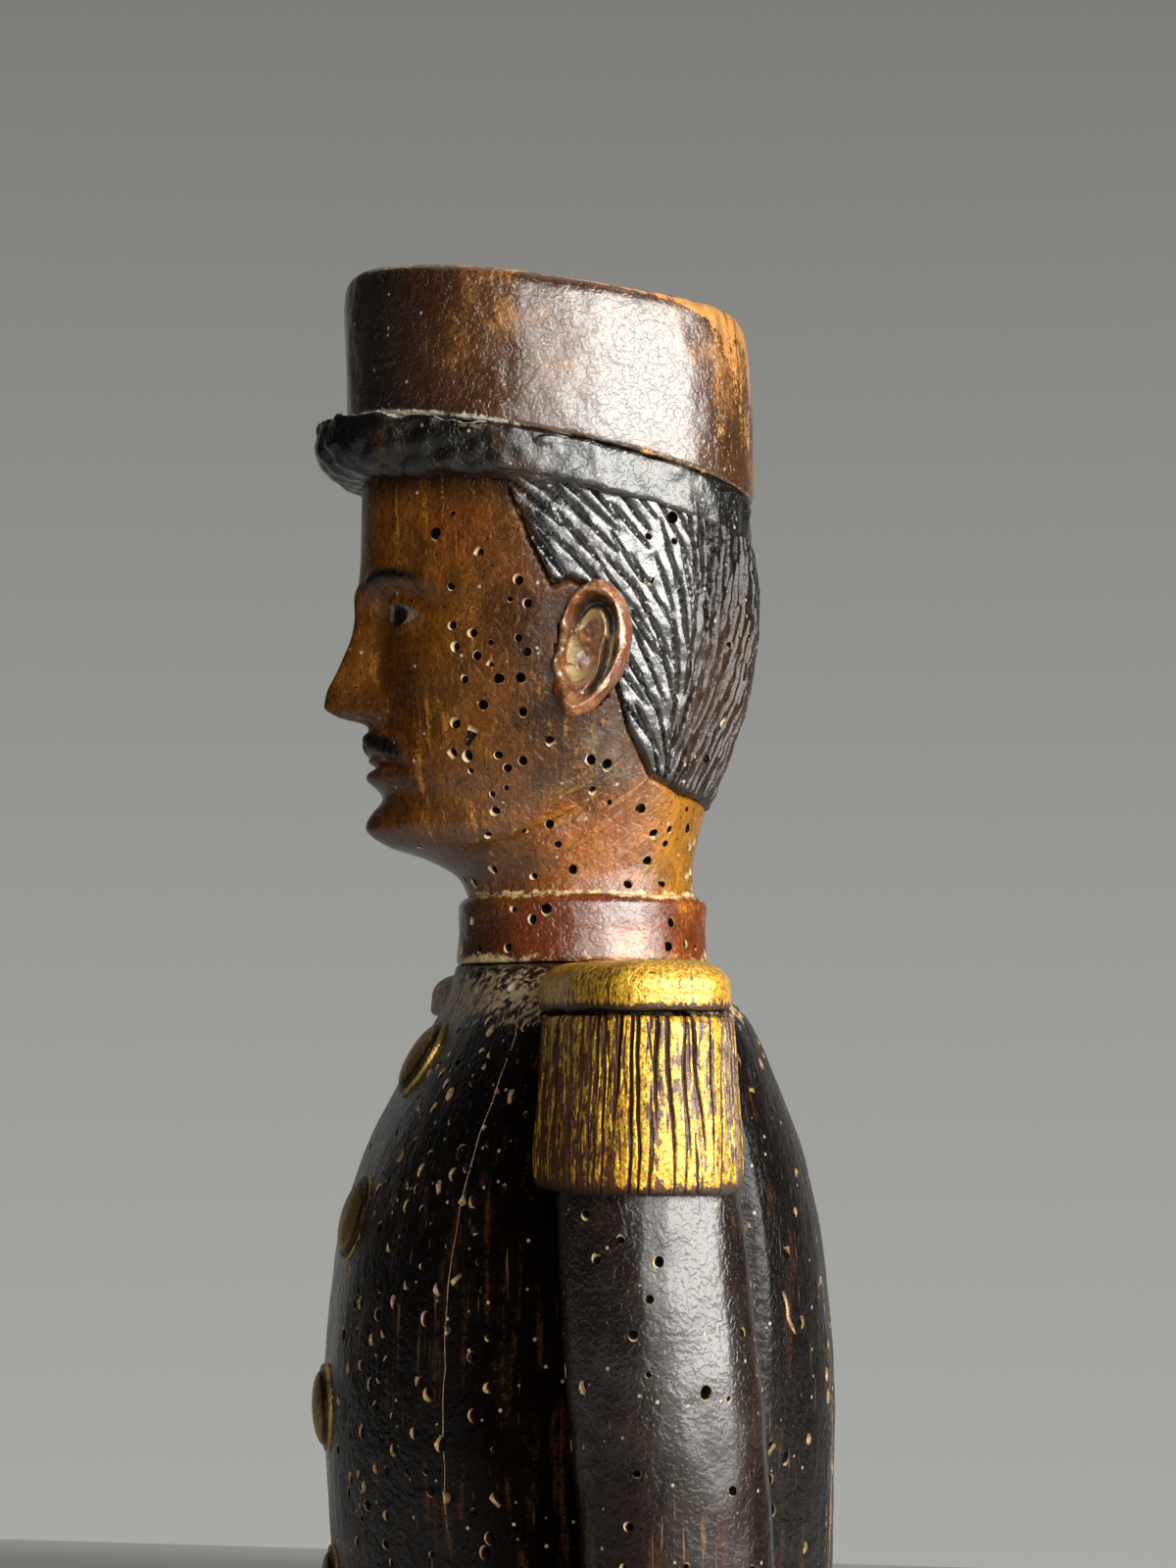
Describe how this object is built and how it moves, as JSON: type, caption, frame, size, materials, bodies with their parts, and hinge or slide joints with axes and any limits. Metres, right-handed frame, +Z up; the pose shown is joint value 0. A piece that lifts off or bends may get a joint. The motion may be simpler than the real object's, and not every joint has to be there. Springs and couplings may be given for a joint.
{
  "type": "carved officer figure",
  "caption": "Standing officer in carved and painted wood with kepi, stand collar, fringed epaulettes and buttoned tunic, arms at the sides, on a low plinth; a shelf ornament.",
  "frame": {"origin": "middle of the plinth's underside", "axes": "+Z up the figure, -Y the way the figure faces, +X to the figure's own left"},
  "size_m": [0.1356, 0.102, 0.4386],
  "materials": {
    "tunic_black": "black-brown paint on carved wood, waxed, worn along the grain",
    "flesh_brown": "warm brown paint and varnish on carved wood, satin",
    "facing_red": "red-brown paint on carved wood, satin",
    "cap_red": "dark red-brown paint on carved wood, satin, worn at the edges",
    "cap_black": "black paint on carved wood, glossy",
    "gilt": "gilding over a purple-brown ground on carved wood, rubbed",
    "old_brass": "aged domed brass",
    "boot_black": "black paint on carved wood, glossy",
    "plinth_brown": "dark brown stain and wax on a wood block",
    "raw_wood": "bare turned wood, unseen inside the joints"
  },
  "bodies": {
    "root": {"plinth": "plinth_brown", "tunic_body": "tunic_black", "stand_collar": "facing_red", "head": "flesh_brown", "neck_dowel": "raw_wood", "kepi_band": "cap_black", "kepi_crown": "cap_red", "kepi_peak": "cap_black", "kepi_dowel": "raw_wood", "left_boot": "boot_black", "left_trouser_leg": "facing_red", "left_leg_rod": "raw_wood", "left_sleeve": "tunic_black", "left_hand": "flesh_brown", "left_wrist_peg": "raw_wood", "left_shoulder_peg": "raw_wood", "left_epaulette_fringe": "gilt", "left_epaulette_pad": "gilt", "left_pad_peg": "raw_wood", "right_boot": "boot_black", "right_trouser_leg": "facing_red", "right_leg_rod": "raw_wood", "right_sleeve": "tunic_black", "right_hand": "flesh_brown", "right_wrist_peg": "raw_wood", "right_shoulder_peg": "raw_wood", "right_epaulette_fringe": "gilt", "right_epaulette_pad": "gilt", "right_pad_peg": "raw_wood", "tunic_button_1": "old_brass", "tunic_button_2": "old_brass", "tunic_button_3": "old_brass", "tunic_button_4": "old_brass", "tunic_button_5": "old_brass", "tunic_button_6": "old_brass"}
  },
  "joints": []
}
